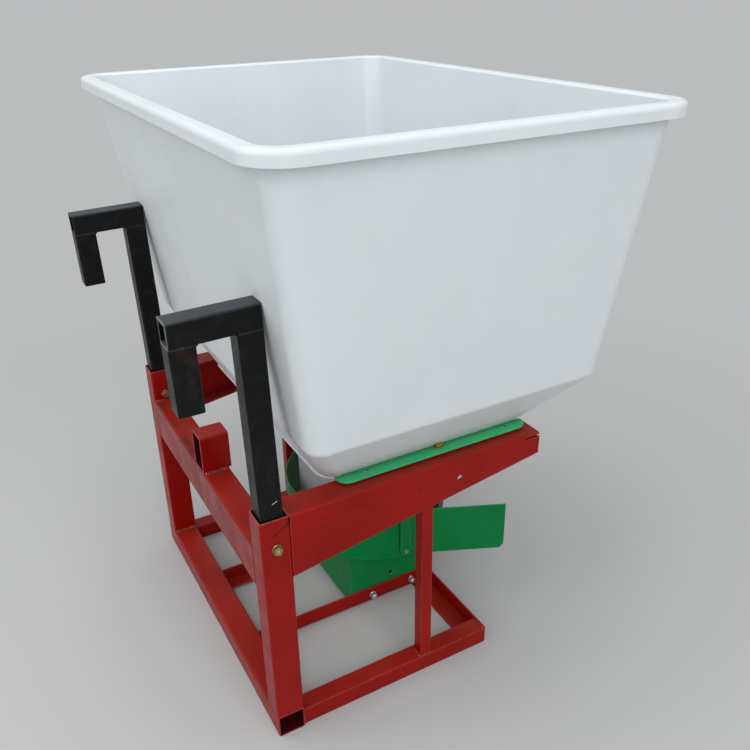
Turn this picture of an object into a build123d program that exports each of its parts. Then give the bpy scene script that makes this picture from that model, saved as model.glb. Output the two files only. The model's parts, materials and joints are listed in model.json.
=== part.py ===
from build123d import *
import os

os.makedirs("parts", exist_ok=True)

# Hook-on fertilizer spreader, millimetres, +Z up, +Y to the rear.
# The hooks are at -Y. +X is the machine's left side, seen from behind.
# Z = 0 is the underside of the frame, Y = 0 the middle of the overall length.

# Frame: overall width, post section and heights
frame_width = 850.0
half_width = frame_width / 2
post_width = 60.0
post_depth = 65.0
post_wall = 3.0
post_corner = 5.0
post_front = -372.0
post_rear = post_front + post_depth
post_top = 600.0
beam_height = 60.0
beam_wall = 4.0
beam_corner = 6.0
post_centre_x = half_width - post_width / 2
post_centre_y = post_front + post_depth / 2

# Upper crossbar between the posts, with the short socket on it, a little left of the middle
crossbar_height = 107.0
crossbar_top = 510.0
socket_centre_x = 28.0
socket_width = 60.0
socket_height = 98.0
socket_length = 70.0
socket_wall = 5.0
socket_corner = 7.0
socket_front = post_front

# Side arms: pressed channels that taper towards their tips
arm_tip = 335.0
arm_sheet = 5.0
arm_bend = 8.0
arm_root_depth = 160.0
arm_tip_depth = 60.0
arm_flange = 66.0
arm_lower_flange = 40.0
arm_inner = half_width - arm_flange
arm_hole_radius = 7.0
arm_hole_y = 110.0
arm_hole_drop = 52.0
arm_slit_length = 42.0
arm_slit_width = 5.0

# Lower frame: side rails, rear angle, uprights and the two bearers
rail_size = 45.0
rail_wall = 3.0
rail_outer = half_width - 5.0
rail_inner = rail_outer - rail_size
rail_rear = 207.0
rear_angle_height = 50.0
rear_angle_leg = 45.0
angle_sheet = 5.0
upright_size = 30.0
upright_outer = rail_outer - 3.0
upright_front = 15.0
bearer_outer = 140.0
bearer_width = 40.0
bearer_sheet = 4.0
bearer_top = 50.0
rear_cross_sheet = 8.0
rear_cross_height = 50.0

# Hooks: square tubes that stand in the posts and reach over to the front.
# They take up the play in the posts and lean forward about their cross bolts.
hook_lean = 1.2
hook_size = 50.0
hook_wall = 4.0
hook_corner = 5.5
hook_top = 1058.0
hook_reach = 149.4
hook_drop_bottom = 877.0
hook_foot = 440.0
hook_bolt_radius = 6.0
hook_bolt_hole = 6.5
hook_bolt_z = 529.0
bolt_head = 8.0
bolt_head_radius = 9.5

# Hopper: body tapering down from the rim, then a steep funnel to the base
rim_half_width = 614.0
rim_front = -394.0
rim_rear = 500.0
rim_top = 1353.0
rim_height = 27.0
rim_inset = 27.0
rim_corner = 82.0
rim_round = 11.0
rim_wall = 5.0
skirt_chamfer = 3.0
mouth_chamfer = 5.0
hopper_wall = 6.0
waist_half_width = 500.0
waist_front = -283.0
waist_rear = 437.0
waist_z = 764.0
waist_round = 20.0
wall_corner = 50.0
base_half_width = arm_inner - 4.0
base_front = -194.0
base_rear = 342.0
base_z = 604.0
lip_sheet = 4.0
lip_overhang = 3.0

# Clamp strips beside the hopper base, on top of its lip and bolted through the arms
strip_inner = base_half_width + 6.0
strip_width = 31.0
strip_front = -172.0
strip_rear = 325.0
strip_sheet = 5.0
strip_corner = 26.0
lip_half_width = strip_inner + strip_width - 13.0
strip_hole_radius = 5.5
strip_hole_x = strip_inner + 9.0
strip_bolt_y = 87.0
strip_hole_ys = (-101.0, strip_bolt_y, 269.0)

# Spreading unit round one upright axis
disc_y = 110.0
shroud_radius = 235.0
shroud_sheet = 3.0
shroud_bottom = 206.0
shroud_top = 345.0
shroud_rear = 97.0
drum_radius = 198.0
drum_wall = 3.0
drum_bottom = 285.0
outlet_size = 70.0
outlet_x = 80.0
outlet_y = disc_y + 90.0
gate_half_width = 150.0
gate_front = outlet_y - outlet_size / 2 - 7.0
gate_rear = 320.0
gate_leg_front = 60.0
gate_leg_inner = 122.0
guide_rear = 235.0
gate_sheet = 3.0
gate_gap = 1.0
gate_tab = 25.0
guide_height = 9.0
guide_lip = 14.0
shaft_radius = 12.5
shaft_clearance = 1.0
wing_length = 247.0
wing_flare = 24.4
wing_chamfer = 12.0
strap_width = 30.0
strap_sheet = 4.0
strap_y = 65.0
strap_end = arm_inner - 20.0
strap_clear = 8.0
disc_radius = 205.0
disc_sheet = 4.0
disc_z = 232.0
vane_height = 34.0
vane_foot = 16.0
vane_sheet = 3.0
vane_inner = 55.0
vane_outer = 198.0
hub_radius = 38.0
hub_height = 24.0
shaft_bottom = 150.0
shaft_top = 420.0
agitator_reach = 120.0
agitator_bar_width = 40.0
agitator_bar_height = 12.0

# Drive housing between the bearers, with the motor inside it
housing_half_width = bearer_outer - bearer_sheet
housing_front = -32.0
housing_rear = 198.0
housing_top = 200.0
housing_sheet = 3.0
housing_hole_radius = 6.0
housing_hole_y = 92.0
housing_hole_z = 74.0
motor_width = 124.0
motor_height = 120.0


def side(sign):
    return "left" if sign > 0 else "right"


def tube_section(width, height, wall, corner):
    """Section of a rectangular tube with rounded outer corners, in the sketch that is open."""
    RectangleRounded(width, height, corner)
    Rectangle(width - 2 * wall, height - 2 * wall, mode=Mode.SUBTRACT)


# Bottom front beam, an open-ended tube under both posts
with BuildPart() as front_beam:
    with BuildSketch(Plane.YZ.offset(-half_width)):
        with Locations((post_centre_y, beam_height / 2)):
            tube_section(post_depth, beam_height, beam_wall, beam_corner)
    extrude(amount=frame_width)
front_beam.part.label = "front_beam"
export_step(front_beam.part, "parts/front_beam.step")

# Upper crossbar, a taller tube between the posts
with BuildPart() as front_crossbar:
    with BuildSketch(Plane.YZ.offset(post_width - half_width)):
        with Locations((post_centre_y, crossbar_top - crossbar_height / 2)):
            tube_section(post_depth, crossbar_height, beam_wall, beam_corner)
    extrude(amount=frame_width - 2 * post_width)
front_crossbar.part.label = "front_crossbar"
export_step(front_crossbar.part, "parts/front_crossbar.step")

# Socket on the crossbar, open to the front and the rear
with BuildPart() as hitch_socket:
    with BuildSketch(Plane.XZ.offset(-socket_front)):
        with Locations((socket_centre_x, crossbar_top + socket_height / 2)):
            tube_section(socket_width, socket_height, socket_wall, socket_corner)
    extrude(amount=-socket_length)
hitch_socket.part.label = "hitch_socket"
export_step(hitch_socket.part, "parts/hitch_socket.step")

# Posts: open-topped square tubes standing on the beam, with the hook bolt's cross hole
for sign in (1, -1):
    with BuildPart() as post:
        with BuildSketch(Plane.XY.offset(beam_height)):
            with Locations((sign * post_centre_x, post_centre_y)):
                tube_section(post_width, post_depth, post_wall, post_corner)
        extrude(amount=post_top - beam_height)
        with Locations(Location((sign * post_centre_x, post_centre_y, hook_bolt_z), (0, 90, 0))):
            Cylinder(hook_bolt_hole, post_width, mode=Mode.SUBTRACT)
    post.part.label = "front_post_" + side(sign)
    export_step(post.part, "parts/front_post_" + side(sign) + ".step")

# Hooks: stem, top tube and drop in one side profile, measured from the cross bolt
hook_half = hook_size / 2
bore_half = hook_half - hook_wall
stem_foot = hook_foot - hook_bolt_z
drop_foot = hook_drop_bottom - hook_bolt_z
tube_top = hook_top - hook_bolt_z
tube_under = tube_top - hook_size
drop_y = hook_half - hook_reach
for sign in (1, -1):
    bolt_centre = Vector(sign * post_centre_x, post_centre_y, hook_bolt_z)
    hook_side = Plane(bolt_centre, x_dir=Vector(0, 1, 0).rotate(Axis.X, hook_lean), z_dir=(1, 0, 0))
    with BuildPart() as hook:
        with BuildSketch(hook_side):
            Polygon(
                (hook_half, stem_foot),
                (hook_half, tube_top),
                (-hook_reach, tube_top),
                (-hook_reach, drop_foot),
                (drop_y + hook_half, drop_foot),
                (drop_y + hook_half, tube_under),
                (-hook_half, tube_under),
                (-hook_half, stem_foot),
                align=None,
            )
        extrude(amount=hook_half, both=True)
        side_faces = hook.faces().filter_by(Axis.X)
        long_edges = [edge for face in side_faces for edge in face.edges() if edge.length > hook_size + 1]
        fillet(long_edges, hook_corner)
        # bores of the three tubes, open at the foot, at the front and below the drop
        with BuildSketch(hook_side):
            for centre_y, foot in ((0, stem_foot), (drop_y, drop_foot)):
                with Locations((centre_y, (foot + tube_under) / 2)):
                    Rectangle(2 * bore_half, tube_under - foot)
            with Locations(((bore_half - hook_reach) / 2, tube_top - hook_half)):
                Rectangle(hook_reach + bore_half, 2 * bore_half)
        extrude(amount=bore_half, both=True, mode=Mode.SUBTRACT)
        with Locations(Location(bolt_centre, (0, 90, 0))):
            Cylinder(hook_bolt_hole, post_width, mode=Mode.SUBTRACT)
    hook.part.label = "hook_" + side(sign)
    export_step(hook.part, "parts/hook_" + side(sign) + ".step")

    with BuildPart() as hook_bolt:
        with Locations(Location(bolt_centre, (0, 90, 0))):
            Cylinder(hook_bolt_radius, post_width + 2 * bolt_head)
        for end in (1, -1):
            head_plane = Plane(bolt_centre + Vector(end * post_width / 2, 0, 0), z_dir=(end, 0, 0))
            with BuildSketch(head_plane):
                RegularPolygon(bolt_head_radius, 6)
            extrude(amount=bolt_head)
    hook_bolt.part.label = "hook_bolt_" + side(sign)
    export_step(hook_bolt.part, "parts/hook_bolt_" + side(sign) + ".step")

# Side arms: web on the outside, a wide top flange and a narrow sloping lower flange
for sign in (1, -1):
    with BuildPart() as side_arm:
        with BuildSketch(Plane.YZ.offset(sign * half_width)):
            Polygon(
                (post_rear, post_top),
                (arm_tip, post_top),
                (arm_tip, post_top - arm_tip_depth),
                (post_rear, post_top - arm_root_depth),
                align=None,
            )
        extrude(amount=-sign * arm_flange)
        web = side_arm.faces().sort_by(Axis.X)[-1 if sign > 0 else 0]
        fillet(web.edges().sort_by(SortBy.LENGTH)[-2:], arm_bend)
        # hollow of the channel, open to the inside
        with BuildSketch(Plane.YZ.offset(sign * (half_width - arm_sheet))):
            Polygon(
                (post_rear, post_top - arm_sheet),
                (arm_tip, post_top - arm_sheet),
                (arm_tip, post_top - arm_tip_depth + arm_sheet),
                (post_rear, post_top - arm_root_depth + arm_sheet),
                align=None,
            )
        extrude(amount=-sign * arm_flange, mode=Mode.SUBTRACT)
        # the lower flange is narrower than the top one
        with BuildSketch(Plane.YZ.offset(sign * (half_width - arm_lower_flange))):
            Polygon(
                (post_rear, post_top - arm_sheet),
                (arm_tip, post_top - arm_sheet),
                (arm_tip, 0),
                (post_rear, 0),
                align=None,
            )
        extrude(amount=-sign * arm_flange, mode=Mode.SUBTRACT)
        with Locations(Location((sign * half_width, arm_hole_y, post_top - arm_hole_drop), (0, 90, 0))):
            Cylinder(arm_hole_radius, 2 * arm_sheet, mode=Mode.SUBTRACT)
        with Locations((sign * strip_hole_x, strip_bolt_y, post_top - arm_sheet / 2)):
            Cylinder(strip_hole_radius, arm_sheet, mode=Mode.SUBTRACT)
        # open slit below the top flange at the tip
        with Locations(
            (
                sign * (half_width - arm_sheet / 2),
                arm_tip - arm_slit_length / 2,
                post_top - arm_sheet - arm_slit_width / 2,
            )
        ):
            Box(arm_sheet, arm_slit_length, arm_slit_width, mode=Mode.SUBTRACT)
    side_arm.part.label = "side_arm_" + side(sign)
    export_step(side_arm.part, "parts/side_arm_" + side(sign) + ".step")

# Flat bar on edge that joins the tips of the arms, under the rear of the hopper
with BuildPart() as rear_cross:
    with Locations((0, arm_tip - rear_cross_sheet / 2, post_top - arm_sheet - rear_cross_height / 2)):
        Box(2 * (half_width - arm_bend), rear_cross_sheet, rear_cross_height)
rear_cross.part.label = "rear_cross"
export_step(rear_cross.part, "parts/rear_cross.step")

# Bottom side rails, from the front beam to the rear angle
for sign in (1, -1):
    with BuildPart() as bottom_rail:
        with BuildSketch(Plane.XZ.offset(-post_rear)):
            with Locations((sign * (rail_outer - rail_size / 2), rail_size / 2)):
                Rectangle(rail_size, rail_size)
                Rectangle(rail_size - 2 * rail_wall, rail_size - 2 * rail_wall, mode=Mode.SUBTRACT)
        extrude(amount=post_rear - rail_rear)
    bottom_rail.part.label = "bottom_rail_" + side(sign)
    export_step(bottom_rail.part, "parts/bottom_rail_" + side(sign) + ".step")

# Rear angle: upright leg over the rail ends, flat leg between the rails
with BuildPart() as rear_angle:
    with Locations((0, rail_rear + angle_sheet / 2, rear_angle_height / 2)):
        Box(2 * rail_outer, angle_sheet, rear_angle_height)
    with Locations((0, rail_rear - rear_angle_leg / 2, angle_sheet / 2)):
        Box(2 * rail_inner, rear_angle_leg, angle_sheet)
rear_angle.part.label = "rear_angle"
export_step(rear_angle.part, "parts/rear_angle.step")

# Uprights from the rails to the arms, cut to the slope of the arm
arm_slope = (arm_root_depth - arm_tip_depth) / (arm_tip - post_rear)
upright_rear = upright_front + upright_size
upright_top_front = post_top - arm_root_depth + arm_slope * (upright_front - post_rear)
upright_top_rear = post_top - arm_root_depth + arm_slope * (upright_rear - post_rear)
for sign in (1, -1):
    with BuildPart() as upright:
        with BuildSketch(Plane.YZ.offset(sign * upright_outer)):
            Polygon(
                (upright_front, rail_size),
                (upright_rear, rail_size),
                (upright_rear, upright_top_rear),
                (upright_front, upright_top_front),
                align=None,
            )
        extrude(amount=-sign * upright_size)
        upright_bore = upright_size - 2 * rail_wall
        upright_centre_x = sign * (upright_outer - upright_size / 2)
        with Locations((upright_centre_x, upright_front + upright_size / 2, post_top / 2)):
            Box(upright_bore, upright_bore, post_top, mode=Mode.SUBTRACT)
    upright.part.label = "upright_" + side(sign)
    export_step(upright.part, "parts/upright_" + side(sign) + ".step")

# Bearers: angles from the front beam to the rear angle, flat legs towards the middle
for sign in (1, -1):
    with BuildPart() as bearer:
        with BuildSketch(Plane.XZ.offset(-post_rear)):
            Polygon(
                (sign * bearer_outer, angle_sheet),
                (sign * bearer_outer, bearer_top),
                (sign * (bearer_outer - bearer_sheet), bearer_top),
                (sign * (bearer_outer - bearer_sheet), angle_sheet + bearer_sheet),
                (sign * (bearer_outer - bearer_width), angle_sheet + bearer_sheet),
                (sign * (bearer_outer - bearer_width), angle_sheet),
                align=None,
            )
        extrude(amount=-(rail_rear - post_rear))
    bearer.part.label = "bearer_" + side(sign)
    export_step(bearer.part, "parts/bearer_" + side(sign) + ".step")

# Hopper: one moulded shell, as crossed side and front profiles with rounded corners
hopper_levels = (
    # half width, front, rear, height
    (rim_half_width - rim_inset, rim_front + rim_inset, rim_rear - rim_inset, rim_top),
    (waist_half_width, waist_front, waist_rear, waist_z),
    (base_half_width, base_front, base_rear, base_z),
)


def hopper_body(inset, corner, rounding):
    """Solid body of the hopper, drawn in by the inset on all four sides."""
    down_front = [(front + inset, z) for half_x, front, rear, z in hopper_levels]
    up_rear = [(rear - inset, z) for half_x, front, rear, z in reversed(hopper_levels)]
    down_left = [(half_x - inset, z) for half_x, front, rear, z in hopper_levels]
    up_right = [(inset - half_x, z) for half_x, front, rear, z in reversed(hopper_levels)]
    with BuildPart(mode=Mode.PRIVATE) as body:
        with BuildSketch(Plane.YZ):
            Polygon(*down_front, *up_rear, align=None)
        extrude(amount=rim_half_width, both=True)
        with BuildSketch(Plane.XZ):
            Polygon(*down_left, *up_right, align=None)
        extrude(amount=rim_rear, both=True, mode=Mode.INTERSECT)
        fillet(body.edges().filter_by_position(Axis.Z, waist_z + 1, rim_top - 1), corner)
        fillet(body.edges().filter_by_position(Axis.Z, base_z + 1, waist_z - waist_round), corner)
        if rounding:
            fillet(body.edges().filter_by_position(Axis.Z, waist_z - waist_round, waist_z + 5), rounding)
    return body.part


def rim_block(inset, height):
    """Block that fills the rim from its lower edge up, drawn in by the inset."""
    with BuildPart(mode=Mode.PRIVATE) as block:
        with BuildSketch(Plane.XY.offset(rim_top - rim_height)):
            with Locations((0, (rim_front + rim_rear) / 2)):
                RectangleRounded(
                    2 * (rim_half_width - inset), rim_rear - rim_front - 2 * inset, rim_corner - inset
                )
        extrude(amount=height)
    return block.part


under_rim = rim_block(rim_wall, rim_height - rim_wall)
under_rim = chamfer(under_rim.faces().sort_by(Axis.Z)[-1].edges(), skirt_chamfer)
with BuildPart() as hopper:
    add(rim_block(0, rim_height))
    fillet(hopper.faces().sort_by(Axis.Z)[-1].edges(), rim_round)
    # the rim is hollow below, and its skirt hangs free of the wall
    add(under_rim, mode=Mode.SUBTRACT)
    add(hopper_body(0, wall_corner, waist_round))
    add(hopper_body(hopper_wall, wall_corner - hopper_wall, 0), mode=Mode.SUBTRACT)
    mouth = hopper.faces().filter_by(Plane.XY).sort_by(Axis.Z)[-1].inner_wires()
    chamfer(mouth[0].edges(), mouth_chamfer)
    # base plate with a lip under each strip, open to the drum and bored for the strips' middle bolts
    with BuildSketch(Plane.XY.offset(base_z - lip_sheet)):
        with Locations((0, (base_front + base_rear) / 2)):
            RectangleRounded(
                2 * (base_half_width + lip_overhang),
                base_rear - base_front + 2 * lip_overhang,
                wall_corner + lip_overhang,
            )
        with Locations((0, (strip_front + strip_rear) / 2)):
            Rectangle(2 * lip_half_width, strip_rear - strip_front - 2 * strip_corner)
        with Locations((0, disc_y)):
            Circle(drum_radius - drum_wall, mode=Mode.SUBTRACT)
        with Locations((strip_hole_x, strip_bolt_y), (-strip_hole_x, strip_bolt_y)):
            Circle(strip_hole_radius, mode=Mode.SUBTRACT)
    extrude(amount=lip_sheet)
hopper.part.label = "hopper"
export_step(hopper.part, "parts/hopper.step")

# Clamp strips, rounded off on the outside at both ends
for sign in (1, -1):
    strip_x = sign * (strip_inner + strip_width / 2)
    with BuildPart() as strip:
        with BuildSketch(Plane.XY.offset(base_z)) as strip_face:
            with Locations((strip_x, (strip_front + strip_rear) / 2)):
                Rectangle(strip_width, strip_rear - strip_front)
            across = strip_face.vertices().sort_by(Axis.X)
            fillet(across[-2:] if sign > 0 else across[:2], strip_corner)
            for hole_y in strip_hole_ys:
                with Locations((sign * strip_hole_x, hole_y)):
                    Circle(strip_hole_radius, mode=Mode.SUBTRACT)
        extrude(amount=strip_sheet)
    strip.part.label = "hopper_strip_" + side(sign)
    export_step(strip.part, "parts/hopper_strip_" + side(sign) + ".step")

# Drum under the hopper, open above and below
with BuildPart() as outlet_drum:
    with BuildSketch(Plane.XY.offset(drum_bottom + drum_wall)):
        with Locations((0, disc_y)):
            Circle(drum_radius)
            Circle(drum_radius - drum_wall, mode=Mode.SUBTRACT)
    extrude(amount=base_z - lip_sheet - drum_bottom - drum_wall)
outlet_drum.part.label = "outlet_drum"
export_step(outlet_drum.part, "parts/outlet_drum.step")

# Floor of the drum, bored for the shaft, with two outlets at the rear
with BuildPart() as drum_floor:
    with BuildSketch(Plane.XY.offset(drum_bottom)):
        with Locations((0, disc_y)):
            Circle(drum_radius)
            Circle(shaft_radius + shaft_clearance, mode=Mode.SUBTRACT)
        with Locations((outlet_x, outlet_y), (-outlet_x, outlet_y)):
            Rectangle(outlet_size, outlet_size, mode=Mode.SUBTRACT)
    extrude(amount=drum_wall)
drum_floor.part.label = "drum_floor"
export_step(drum_floor.part, "parts/drum_floor.step")

# Gate under the drum floor, pulled to the rear to open both outlets
gate_top = drum_bottom - guide_height + 2 * gate_sheet
with BuildPart() as gate_plate:
    with Locations((0, (gate_leg_front + gate_rear) / 2, gate_top - gate_sheet / 2)):
        Box(2 * gate_half_width, gate_rear - gate_leg_front, gate_sheet)
    # the legs run past the shaft and stay in the guides when the gate is open
    with Locations((0, (gate_leg_front + gate_front) / 2, gate_top - gate_sheet / 2)):
        Box(2 * gate_leg_inner, gate_front - gate_leg_front, gate_sheet, mode=Mode.SUBTRACT)
    with Locations((0, gate_rear - gate_sheet / 2, gate_top + (gate_tab - gate_sheet) / 2)):
        Box(gate_half_width, gate_sheet, gate_tab + gate_sheet)
gate_plate.part.label = "gate_plate"
export_step(gate_plate.part, "parts/gate_plate.step")

# Guides of the gate: angles under the drum floor, lips below the plate's edges
for sign in (1, -1):
    with BuildPart() as gate_guide:
        with BuildSketch(Plane.XZ.offset(-gate_leg_front)):
            Polygon(
                (sign * (gate_half_width + gate_gap), drum_bottom),
                (sign * (gate_half_width + gate_gap + gate_sheet), drum_bottom),
                (sign * (gate_half_width + gate_gap + gate_sheet), drum_bottom - guide_height),
                (sign * (gate_half_width + gate_gap - guide_lip), drum_bottom - guide_height),
                (sign * (gate_half_width + gate_gap - guide_lip), drum_bottom - guide_height + gate_sheet),
                (sign * (gate_half_width + gate_gap), drum_bottom - guide_height + gate_sheet),
                align=None,
            )
        extrude(amount=-(guide_rear - gate_leg_front))
    gate_guide.part.label = "gate_guide_" + side(sign)
    export_step(gate_guide.part, "parts/gate_guide_" + side(sign) + ".step")

# Shroud round the front half of the disc, open to the rear
with BuildPart() as shroud:
    with BuildSketch(Plane.XY.offset(shroud_bottom)):
        with Locations((0, disc_y)):
            Circle(shroud_radius)
            Circle(shroud_radius - shroud_sheet, mode=Mode.SUBTRACT)
        with Locations((0, shroud_rear)):
            Rectangle(
                4 * shroud_radius,
                2 * shroud_radius,
                align=(Align.CENTER, Align.MIN),
                mode=Mode.SUBTRACT,
            )
    extrude(amount=shroud_top - shroud_bottom)
shroud.part.label = "shroud"
export_step(shroud.part, "parts/shroud.step")

# Flared wings from the shroud's ends to the rear, with a small chamfer at the lower rear corner
for sign in (1, -1):
    wing_plane = Plane(
        origin=(sign * shroud_radius, shroud_rear, shroud_bottom),
        x_dir=Vector(0, 1, 0).rotate(Axis.Z, -sign * wing_flare),
        z_dir=Vector(sign, 0, 0).rotate(Axis.Z, -sign * wing_flare),
    )
    with BuildPart() as wing:
        with BuildSketch(wing_plane):
            height = sign * (shroud_top - shroud_bottom)
            Polygon(
                (0, 0),
                (wing_length - wing_chamfer, 0),
                (wing_length, sign * wing_chamfer),
                (wing_length, height),
                (0, height),
                align=None,
            )
        extrude(amount=-shroud_sheet)
    wing.part.label = "deflector_" + side(sign)
    export_step(wing.part, "parts/deflector_" + side(sign) + ".step")

# Straps that hang the shroud from the hopper's base, with rounded lower ends
strap_foot_z = base_z - lip_sheet
for sign in (1, -1):
    strap_inner = sign * shroud_radius
    strap_outer = sign * (shroud_radius + strap_sheet)
    with BuildPart() as strap:
        with BuildSketch(Plane.XZ.offset(-strap_y)):
            Polygon(
                (strap_outer, shroud_bottom + strap_clear),
                (strap_outer, strap_foot_z - strap_sheet),
                (sign * strap_end, strap_foot_z - strap_sheet),
                (sign * strap_end, strap_foot_z),
                (strap_inner, strap_foot_z),
                (strap_inner, shroud_bottom + strap_clear),
                align=None,
            )
        extrude(amount=-strap_width)
        fillet(strap.edges().filter_by(Axis.X).group_by(Axis.Z)[0], strap_width / 2 - 1)
    strap.part.label = "shroud_strap_" + side(sign)
    export_step(strap.part, "parts/shroud_strap_" + side(sign) + ".step")

# Drive housing: folded sheet box, open below, with the motor's shaft hole in its roof
with BuildPart() as drive_housing:
    housing_floor = angle_sheet + bearer_sheet
    with Locations((0, (housing_front + housing_rear) / 2, (housing_floor + housing_top) / 2)):
        Box(2 * housing_half_width, housing_rear - housing_front, housing_top - housing_floor)
    with Locations(
        (0, (housing_front + housing_rear) / 2, (housing_floor + housing_top - housing_sheet) / 2)
    ):
        Box(
            2 * (housing_half_width - housing_sheet),
            housing_rear - housing_front - 2 * housing_sheet,
            housing_top - housing_sheet - housing_floor,
            mode=Mode.SUBTRACT,
        )
    with Locations((0, disc_y, housing_top)):
        Cylinder(shaft_radius + shaft_clearance, 4 * housing_sheet, mode=Mode.SUBTRACT)
    with Locations(Location((housing_half_width, housing_hole_y, housing_hole_z), (0, 90, 0))):
        Cylinder(housing_hole_radius, 4 * housing_sheet, mode=Mode.SUBTRACT)
drive_housing.part.label = "drive_housing"
export_step(drive_housing.part, "parts/drive_housing.step")

# Motor block under the housing's roof, bored for the lower end of the shaft
with BuildPart() as drive_motor:
    with Locations((0, disc_y, housing_top - housing_sheet)):
        Box(motor_width, motor_width, motor_height, align=(Align.CENTER, Align.CENTER, Align.MAX))
        Cylinder(
            shaft_radius + shaft_clearance,
            housing_top - housing_sheet - shaft_bottom + shaft_clearance,
            align=(Align.CENTER, Align.CENTER, Align.MAX),
            mode=Mode.SUBTRACT,
        )
drive_motor.part.label = "drive_motor"
export_step(drive_motor.part, "parts/drive_motor.step")

# Upright shaft, from the motor through disc and drum floor
with BuildPart() as spinner_shaft:
    with Locations((0, disc_y, shaft_bottom)):
        Cylinder(shaft_radius, shaft_top - shaft_bottom, align=(Align.CENTER, Align.CENTER, Align.MIN))
spinner_shaft.part.label = "spinner_shaft"
export_step(spinner_shaft.part, "parts/spinner_shaft.step")

# Spinner disc with its hub
with BuildPart() as spinner_disc:
    with Locations((0, disc_y, disc_z)):
        Cylinder(disc_radius, disc_sheet, align=(Align.CENTER, Align.CENTER, Align.MIN))
        Cylinder(hub_radius, hub_height, align=(Align.CENTER, Align.CENTER, Align.MIN))
        Cylinder(
            shaft_radius,
            hub_height,
            align=(Align.CENTER, Align.CENTER, Align.MIN),
            mode=Mode.SUBTRACT,
        )
spinner_disc.part.label = "spinner_disc"
export_step(spinner_disc.part, "parts/spinner_disc.step")

# Four vanes on the disc, each an upright sheet with a folded foot
for index, angle in enumerate((45, 135, 225, 315), start=1):
    with BuildPart() as vane:
        for width, height in ((vane_sheet, vane_height), (vane_foot, vane_sheet)):
            with BuildSketch(Plane.XY.offset(disc_z + disc_sheet)):
                with Locations((0, disc_y)):
                    with PolarLocations((vane_inner + vane_outer) / 2, 1, start_angle=angle):
                        with Locations((0, (width - vane_sheet) / 2)):
                            Rectangle(vane_outer - vane_inner, width)
            extrude(amount=height)
    vane.part.label = "vane_" + str(index)
    export_step(vane.part, "parts/vane_" + str(index) + ".step")

# Agitator: flat cross on the top of the shaft
with BuildPart() as agitator:
    with BuildSketch(Plane.XY.offset(shaft_top - agitator_bar_height)):
        with Locations((0, disc_y)):
            Rectangle(2 * agitator_reach, agitator_bar_width)
            Rectangle(agitator_bar_width, 2 * agitator_reach)
            Circle(shaft_radius, mode=Mode.SUBTRACT)
    extrude(amount=agitator_bar_height)
agitator.part.label = "agitator"
export_step(agitator.part, "parts/agitator.step")
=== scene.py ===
import json
import math
import random

import bmesh
import bpy
from mathutils import Matrix, Vector


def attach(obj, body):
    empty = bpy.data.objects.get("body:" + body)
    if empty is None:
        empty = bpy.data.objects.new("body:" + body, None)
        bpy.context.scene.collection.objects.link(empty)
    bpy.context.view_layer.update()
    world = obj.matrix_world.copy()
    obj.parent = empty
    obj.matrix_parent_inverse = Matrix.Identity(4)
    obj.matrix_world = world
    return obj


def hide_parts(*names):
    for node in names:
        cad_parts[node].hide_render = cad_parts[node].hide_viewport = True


# Looks of the hook-on fertilizer spreader: materials, fasteners, welds, floor, light and camera.
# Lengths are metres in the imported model's frame. Points and sizes of marks, fasteners and welds
# are in mm, and +X is the photo's near side.

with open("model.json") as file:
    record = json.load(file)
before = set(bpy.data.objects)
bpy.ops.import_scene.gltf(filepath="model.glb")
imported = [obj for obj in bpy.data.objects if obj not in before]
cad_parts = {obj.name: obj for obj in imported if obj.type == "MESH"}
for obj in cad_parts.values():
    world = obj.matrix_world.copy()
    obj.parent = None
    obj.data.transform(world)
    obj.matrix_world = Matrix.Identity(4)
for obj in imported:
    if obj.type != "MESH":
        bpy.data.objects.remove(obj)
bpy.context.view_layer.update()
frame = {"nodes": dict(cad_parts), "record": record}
nodes = frame["nodes"]
rng = random.Random(29)

MM_PER_METRE = 1000

# Faces of the CAD parts that carry marks, fasteners and welds, in mm
HALF_WIDTH = 425  # outer faces of posts and arms
POST_INNER = 365
POST_FRONT, POST_REAR = -372, -307
POST_TOP = 600
BEAM_TOP = 60
CROSSBAR_BOTTOM, CROSSBAR_TOP = 403, 510
ARM_WEB = 420  # inner face of the arm's web
ARM_UNDERSIDE = 595  # of its top flange
RAIL_INNER, RAIL_OUTER = 375, 420
RAIL_TOP, RAIL_REAR = 45, 207
UPRIGHT_INNER, UPRIGHT_OUTER = 387, 417
UPRIGHT_FRONT, UPRIGHT_REAR = 15, 45
BEARER_SIDE = 140
SOCKET_RIGHT, SOCKET_LEFT = -2, 58
HOOK_INNER, HOOK_OUTER = 370, 420
HOOK_PIVOT_Y, HOOK_PIVOT_Z = -339.5, 529
HOOK_LEAN = math.radians(1.2)


# Shader nodes


def linear(red, green, blue):
    """Colour from 0 to 255 as seen on a screen, as linear red, green, blue and alpha."""
    values = []
    for v in (red, green, blue):
        v = v / 255
        values.append(v / 12.92 if v <= 0.04045 else ((v + 0.055) / 1.055) ** 2.4)
    return (*values, 1.0)


def shades(colour, *factors):
    """The colour made darker or lighter by each factor."""
    return [tuple(c * f for c in colour[:3]) + (1.0,) for f in factors]


def new_material(name):
    mat = bpy.data.materials.new(name)
    mat.use_nodes = True
    tree = mat.node_tree
    tree.nodes.clear()
    out = tree.nodes.new("ShaderNodeOutputMaterial")
    bsdf = tree.nodes.new("ShaderNodeBsdfPrincipled")
    tree.links.new(bsdf.outputs["BSDF"], out.inputs["Surface"])
    return mat, tree, bsdf


def surface(tree, bsdf, colour, roughness, normal):
    tree.links.new(colour, bsdf.inputs["Base Color"])
    tree.links.new(roughness, bsdf.inputs["Roughness"])
    tree.links.new(normal, bsdf.inputs["Normal"])


def connect(tree, value, socket):
    if isinstance(value, bpy.types.NodeSocket):
        tree.links.new(value, socket)
    else:
        socket.default_value = value


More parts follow.
